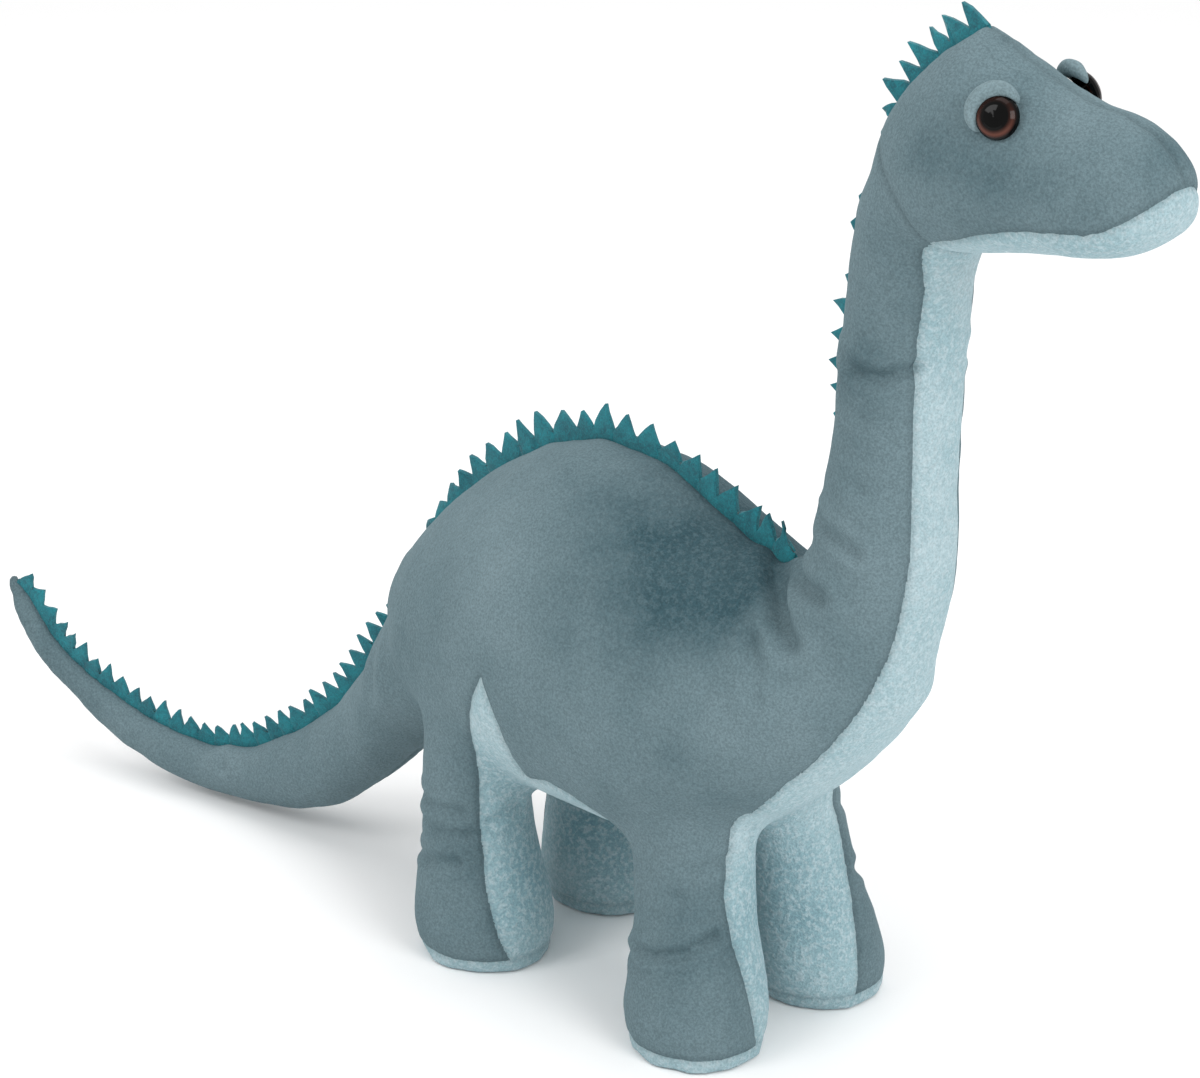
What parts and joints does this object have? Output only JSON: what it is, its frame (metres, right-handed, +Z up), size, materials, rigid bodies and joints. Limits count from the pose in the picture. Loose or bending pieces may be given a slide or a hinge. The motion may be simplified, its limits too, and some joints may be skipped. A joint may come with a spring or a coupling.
{
  "type": "stuffed dinosaur",
  "caption": "Plush long-necked dinosaur standing on four legs, with a felt crest along its back, a pale underside and shiny plastic eyes. The neck, head, tail and legs bend softly.",
  "frame": {"origin": "centre of the overall box, on the plane of the four soles", "axes": "+X toward the snout, +Y toward the toy's left side, +Z up"},
  "size_m": [0.5089, 0.1064, 0.3546],
  "materials": {
    "soft_filling": "loose white polyester fibre",
    "grey_blue_plush": "short-pile plush, soft matt with a faint nap",
    "pale_plush": "short-pile plush, soft matt, pale blue",
    "teal_felt": "stiff cut felt, matt",
    "eye_plastic": "glossy moulded plastic with brown iris and black pupil",
    "washer_plastic": "plain moulded plastic"
  },
  "bodies": {
    "torso": {"torso_filling": "soft_filling", "torso_skin_left": "grey_blue_plush", "torso_skin_right": "grey_blue_plush", "belly_panel": "pale_plush", "flank_gusset_left": "pale_plush", "flank_gusset_right": "pale_plush", "back_crest": "teal_felt"},
    "neck": {"neck_filling": "soft_filling", "neck_skin_left": "grey_blue_plush", "neck_skin_right": "grey_blue_plush", "throat_panel": "pale_plush", "neck_crest": "teal_felt"},
    "head": {"head_filling": "soft_filling", "head_skin_left": "grey_blue_plush", "head_skin_right": "grey_blue_plush", "chin_panel": "pale_plush", "crown_crest": "teal_felt", "eye_left": "eye_plastic", "eye_right": "eye_plastic", "eye_washer_left": "washer_plastic", "eye_washer_right": "washer_plastic", "eyelid_left": "grey_blue_plush", "eyelid_right": "grey_blue_plush"},
    "tail": {"tail_filling": "soft_filling", "tail_skin_left": "grey_blue_plush", "tail_skin_right": "grey_blue_plush", "tail_crest": "teal_felt"},
    "front_left_leg": {"front_left_filling": "soft_filling", "front_left_outer": "grey_blue_plush", "front_left_inner": "pale_plush", "front_left_sole": "pale_plush"},
    "front_right_leg": {"front_right_filling": "soft_filling", "front_right_outer": "grey_blue_plush", "front_right_inner": "pale_plush", "front_right_sole": "pale_plush"},
    "hind_left_leg": {"hind_left_filling": "soft_filling", "hind_left_outer": "grey_blue_plush", "hind_left_inner": "pale_plush", "hind_left_sole": "pale_plush"},
    "hind_right_leg": {"hind_right_filling": "soft_filling", "hind_right_outer": "grey_blue_plush", "hind_right_inner": "pale_plush", "hind_right_sole": "pale_plush"}
  },
  "joints": [
    {"name": "neck_bend", "type": "hinge", "parent": "torso", "child": "neck", "pos_m": [0.15021, 0, 0.199], "axis": [0, 1, 0], "range_deg": [-15, 15], "stiffness_Nm_per_rad": 2},
    {"name": "head_nod", "type": "hinge", "parent": "neck", "child": "head", "pos_m": [0.15841, 0, 0.299], "axis": [0, 1, 0], "range_deg": [-15, 15], "stiffness_Nm_per_rad": 1.5},
    {"name": "tail_sway", "type": "hinge", "parent": "torso", "child": "tail", "pos_m": [-0.08479, 0, 0.045], "axis": [0, 0, 1], "range_deg": [-25, 15], "stiffness_Nm_per_rad": 0.8},
    {"name": "front_left_leg_flex", "type": "hinge", "parent": "torso", "child": "front_left_leg", "pos_m": [0.09335, 0.02415, 0.045], "axis": [0, 1, 0], "range_deg": [-10, 10], "stiffness_Nm_per_rad": 4},
    {"name": "front_right_leg_flex", "type": "hinge", "parent": "torso", "child": "front_right_leg", "pos_m": [0.09335, -0.02415, 0.045], "axis": [0, 1, 0], "range_deg": [-10, 10], "stiffness_Nm_per_rad": 4},
    {"name": "hind_left_leg_flex", "type": "hinge", "parent": "torso", "child": "hind_left_leg", "pos_m": [-0.00239, 0.03, 0.045], "axis": [0, 1, 0], "range_deg": [-10, 10], "stiffness_Nm_per_rad": 4},
    {"name": "hind_right_leg_flex", "type": "hinge", "parent": "torso", "child": "hind_right_leg", "pos_m": [-0.00239, -0.03, 0.045], "axis": [0, 1, 0], "range_deg": [-10, 10], "stiffness_Nm_per_rad": 4}
  ]
}
